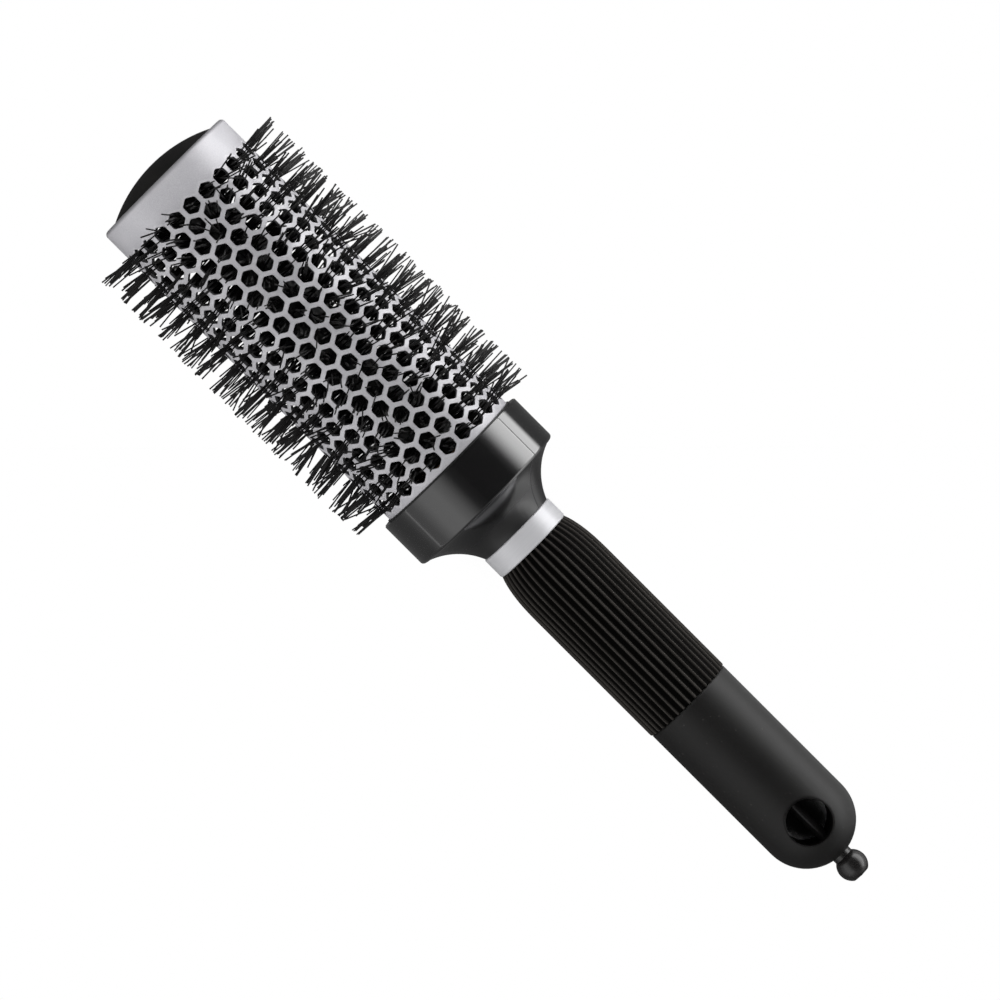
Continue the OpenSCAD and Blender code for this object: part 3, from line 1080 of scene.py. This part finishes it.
# %% Floor
FLOOR_HALF = 4.0
OPEN_WITHIN = 28 * MM  # how far the floor looks for what shades it
SHADOW_OPEN, WHITE_OPEN = 0.24, 0.5  # openness: the paper shows below, the white above
BLACK_OPEN, PAPER_OPEN = 0.25, 0.6  # and below, the paper's colour is painted black: painted shade
HOLE_PAINTED_SHADOW, HOLE_PAST = 7.5 * MM, 9 * MM  # round the spot under the hanging hole the white is switched off: painted shadow
HANDLE_ASIDE, BARREL_ASIDE = 12 * MM, 45 * MM  # past this far from the axis, the painted shade that gloss sees lifts
NEARBY_REACH, FAR_FROM, FAR_TO = 0.3, 0.5, 1.5
GLOW_STRIP_Y, GLOW_STRIP_X = (10 * MM, 26 * MM), (-42 * MM, -18 * MM)  # the painted glowing strip's soft edges towards the brush
# levels of the painted shade and the painted glowing strip that gloss sees on the floor
DIM_LEAST, DIM_NEARBY, DIM_FAR, DIM_GLOW_STRIP = 0.1, 0.2, 0.7, 0.55


def painted_gloss_floor(tree, x, y):
    """How bright gloss sees the floor: painted shade near the brush, lifting farther out, and a
    painted glowing strip beside the handle.
    """
    aside = tree.math("ABSOLUTE", y)
    dark_to = HANDLE_ASIDE + tree.ease(x, -20 * MM, 0.0) * (BARREL_ASIDE - HANDLE_ASIDE)
    past_brush = tree.math("MAXIMUM", (aside - dark_to) / NEARBY_REACH, 0.0)
    nearby = tree.math("MINIMUM", past_brush, 1.0)
    far_off = tree.ease(aside, FAR_FROM, FAR_TO)
    glow_strip = tree.ease(0 - y, *GLOW_STRIP_Y) * (1 - tree.ease(x, *GLOW_STRIP_X))
    return DIM_LEAST + nearby * DIM_NEARBY + far_off * DIM_FAR + glow_strip * DIM_GLOW_STRIP


reach = math.hypot(bristle_r, last_row_x - hang_x)
lean = math.acos(tail_r / reach) - math.atan2(last_row_x - hang_x, bristle_r)
floor_along = Vector((math.cos(lean), 0, -math.sin(lean)))
touch = Vector((last_row_x, 0, -bristle_r))
corners = [touch + floor_along * a * FLOOR_HALF + Vector((0, b * FLOOR_HALF, 0))
           for a, b in ((-1, -1), (1, -1), (1, 1), (-1, 1))]
floor_mesh = bpy.data.meshes.new("floor")
floor_mesh.from_pydata(corners, [], [(0, 1, 2, 3)])
floor = add_object("floor", floor_mesh)
floor_material = bpy.data.materials.new("floor_white")
tree = emptied_tree(floor_material)
path = tree.node("ShaderNodeLightPath")
mirrored = tree.math("MAXIMUM", path.at("Is Glossy Ray"), path.at("Is Transmission Ray"))
seen = tree.math("MAXIMUM", path.at("Is Camera Ray"), mirrored)
shaded_by = tree.node("ShaderNodeAmbientOcclusion", {"samples": 16}, {"Distance": OPEN_WITHIN})
open_to = shaded_by.at("AO")
place = tree.node("ShaderNodeTexCoord").at("Object")
x, y, z = tree.split(place)
speckle = noise(tree, place, 40 * MM, 2.0)
# The paper's colour is painted black where it is shut in: painted shade.
deep = tree.node("ShaderNodeMix", {"data_type": "RGBA"}, {
    "Factor": tree.ease(open_to, BLACK_OPEN, PAPER_OPEN), "A": (0.003, 0.003, 0.003, 1),
    "B": blend(tree, speckle, (0.80, 0.80, 0.80), (0.84, 0.84, 0.84)),
})
paper = tree.node("ShaderNodeBsdfDiffuse", None, {"Color": deep})
# The camera sees plain white; gloss sees the painted shade and the painted glowing strip.
strength = tree.math("MAXIMUM", path.at("Is Camera Ray"), painted_gloss_floor(tree, x, y))
white = tree.node("ShaderNodeEmission", None, {"Color": (1, 1, 1, 1), "Strength": strength})
# A painted shadow round the spot under the hanging hole, set by place.
from_hole = tree.math("SQRT", (x - hang_x) * (x - hang_x) + y * y)
past_hole = tree.ease(from_hole, HOLE_PAINTED_SHADOW, HOLE_PAST)
lit = tree.ease(open_to, SHADOW_OPEN, WHITE_OPEN) * past_hole
mixed = tree.node("ShaderNodeMixShader", None, {0: seen * lit, 1: paper, 2: white})
tree.node("ShaderNodeOutputMaterial", None, {"Surface": mixed})
floor.data.materials.append(floor_material)
print(f"floor leans {math.degrees(lean):.2f} degrees")

# %% [markdown]
# Two softboxes stand beside the brush down to the floor, so that gloss sees them below the
# horizon too. Both are clear cloths that add their glow to what lies behind them. Light linking
# gives the collar a box of its own. It ends halfway along the barrel: seen from the other side,
# a long one would burn out the collar's far edge.

# %% Softboxes
SOFTBOX_Y, SOFTBOX_TOP, SOFTBOX_LOW, SOFTBOX_HALF = -100 * MM, 90 * MM, -60 * MM, 260 * MM
COLLAR_BOX_Y, COLLAR_BOX_END = SOFTBOX_Y - 1 * MM, 75 * MM
FADE_LOW, FADE_HIGH, FADE_END = (-22 * MM, -6 * MM), (30 * MM, SOFTBOX_TOP), 25 * MM
TAIL_TO_TIP = (-45 * MM, -15 * MM)  # where the one glow passes into the other


def softbox(name, plane_y, far_end, lit, by_tail, by_tip):
    """A glowing cloth that fades out up, down and towards far_end and lights only what is lit."""
    mesh = bpy.data.meshes.new(name)
    mesh.from_pydata([
        (-SOFTBOX_HALF, plane_y, SOFTBOX_LOW), (far_end, plane_y, SOFTBOX_LOW),
        (far_end, plane_y, SOFTBOX_TOP), (-SOFTBOX_HALF, plane_y, SOFTBOX_TOP),
    ], [], [(0, 1, 2, 3)])
    box = add_object(name, mesh)
    material = bpy.data.materials.new(name + "_glow")
    tree = emptied_tree(material)
    x, y, z = tree.split(tree.node("ShaderNodeTexCoord").at("Object"))
    cloth = tree.ease(z, *FADE_LOW) * (1 - tree.ease(z, *FADE_HIGH))
    cloth = cloth * (1 - tree.ease(x, far_end - FADE_END, far_end))
    glow = by_tail + tree.ease(x, *TAIL_TO_TIP) * (by_tip - by_tail)
    light = tree.node("ShaderNodeEmission", None, {
        "Color": (1, 1, 1, 1), "Strength": cloth * glow,
    })
    clear = tree.node("ShaderNodeBsdfTransparent")
    both = tree.node("ShaderNodeAddShader", None, {0: clear, 1: light})
    tree.node("ShaderNodeOutputMaterial", None, {"Surface": both})
    mesh.materials.append(material)
    box.visible_camera = False
    box.visible_shadow = False
    receivers = bpy.data.collections.new(name + "_lights")
    for obj in lit:
        receivers.objects.link(obj)
    box.light_linking.receiver_collection = receivers
    print(f"{name} lights {len(lit)} meshes")


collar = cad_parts["collar"]
others = [obj for obj in bpy.data.objects if obj.type == "MESH" and obj != collar]
softbox("softbox", SOFTBOX_Y, SOFTBOX_HALF, others, by_tail=2.55, by_tip=2.9)
softbox("softbox_for_collar", COLLAR_BOX_Y, COLLAR_BOX_END, [collar], by_tail=1.1, by_tip=3.45)

# %% [markdown]
# Broad lamps overhead and at both sides reach the webs between the tufts. Gloss doesn't see
# them, so they add no spots to the collar.

# %% Fills
FILL_SPREAD = math.radians(50)

for name, tilt, energy in (("fill_top", 0, 1.6), ("fill_left", 75, 1.5), ("fill_right", -75, 1.9)):
    fill_data = bpy.data.lights.new(name, "SUN")
    fill_data.energy, fill_data.angle = energy, FILL_SPREAD
    fill = bpy.data.objects.new(name, fill_data)
    fill.rotation_euler.x = math.radians(tilt)
    bpy.context.scene.collection.objects.link(fill)
    fill.visible_glossy = False
    print(f"{name}: {tilt} degrees from overhead")

# %% [markdown]
# The world is a studio round the brush's axis: dark overhead, a bright panel halfway down the
# +Y side and a dimmer one low on the -Y side. A ramp over the angle round the axis draws the
# panels, and they fade out towards its two ends. To the camera all of it is white.

# %% World
PANELS = (  # degrees from overhead, towards -Y, and brightness
    (-180, 0.15), (-125, 0.15), (-95, 0.33), (-78, 0.42), (-60, 0.82), (-40, 0.88), (-26, 0.60),
    (-12, 0.10), (0, 0.04), (46, 0.05), (60, 0.3), (100, 0.5), (122, 0.2), (180, 0.15),
)
ROOM = 0.2  # the brightness past the panels' ends
TIP_END = 0.5  # how much more there is straight ahead of the tip

world = bpy.data.worlds.new("studio")
bpy.context.scene.world = world
tree = emptied_tree(world)
x, y, z = tree.split(tree.node("ShaderNodeTexCoord").at("Generated"))
side = tree.math("ARCTAN2", 0 - y, z) / math.tau + 0.5
ramp = tree.node("ShaderNodeValToRGB", {
    "stops": [(0.5 + degrees / 360, level) for degrees, level in PANELS]
}, {"Fac": side})
beside = 1 - tree.ease(tree.math("ABSOLUTE", x), 0.55, 0.85)
studio = (ramp - ROOM) * beside + ROOM + tree.ease(x, 0.6, 0.9) * TIP_END
path = tree.node("ShaderNodeLightPath")
level = tree.node("ShaderNodeMix", {"data_type": "FLOAT"}, {"Factor": path, "A": studio, "B": 1.0})
background = tree.node("ShaderNodeBackground", None, {"Color": (1, 1, 1, 1), "Strength": level})
tree.node("ShaderNodeOutputWorld", None, {"Surface": background})
print("studio:", len(PANELS), "stops round the axis")

# %% [markdown]
# ## Colour management
# The view transform is Standard, so a colour shows as it is written.

# %% Colour management
bpy.context.scene.view_settings.view_transform = "Standard"
